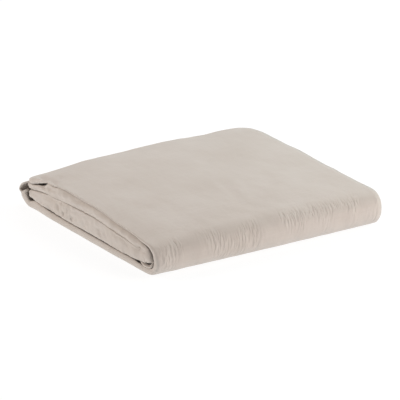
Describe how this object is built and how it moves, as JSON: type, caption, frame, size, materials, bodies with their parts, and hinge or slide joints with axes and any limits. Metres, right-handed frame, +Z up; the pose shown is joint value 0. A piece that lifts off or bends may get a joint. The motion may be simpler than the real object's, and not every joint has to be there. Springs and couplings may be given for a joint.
{
  "type": "folded fitted sheet",
  "caption": "Single-bed fitted sheet of soft brushed cotton, folded over and over into a flat square packet with rounded folds at its front and back.",
  "frame": {"origin": "centre of the packet's footprint, on the surface that it rests on", "axes": "+Z up through the stacked layers, -Y towards the closed front fold, -X towards the folded end where the layers show"},
  "size_m": [0.3539, 0.3519, 0.058],
  "materials": {
    "brushed_cotton": "soft, matt, undyed grey-beige cotton with a fine plain weave and a short brushed nap"
  },
  "bodies": {
    "root": {"fitted_sheet": "brushed_cotton"}
  },
  "joints": []
}
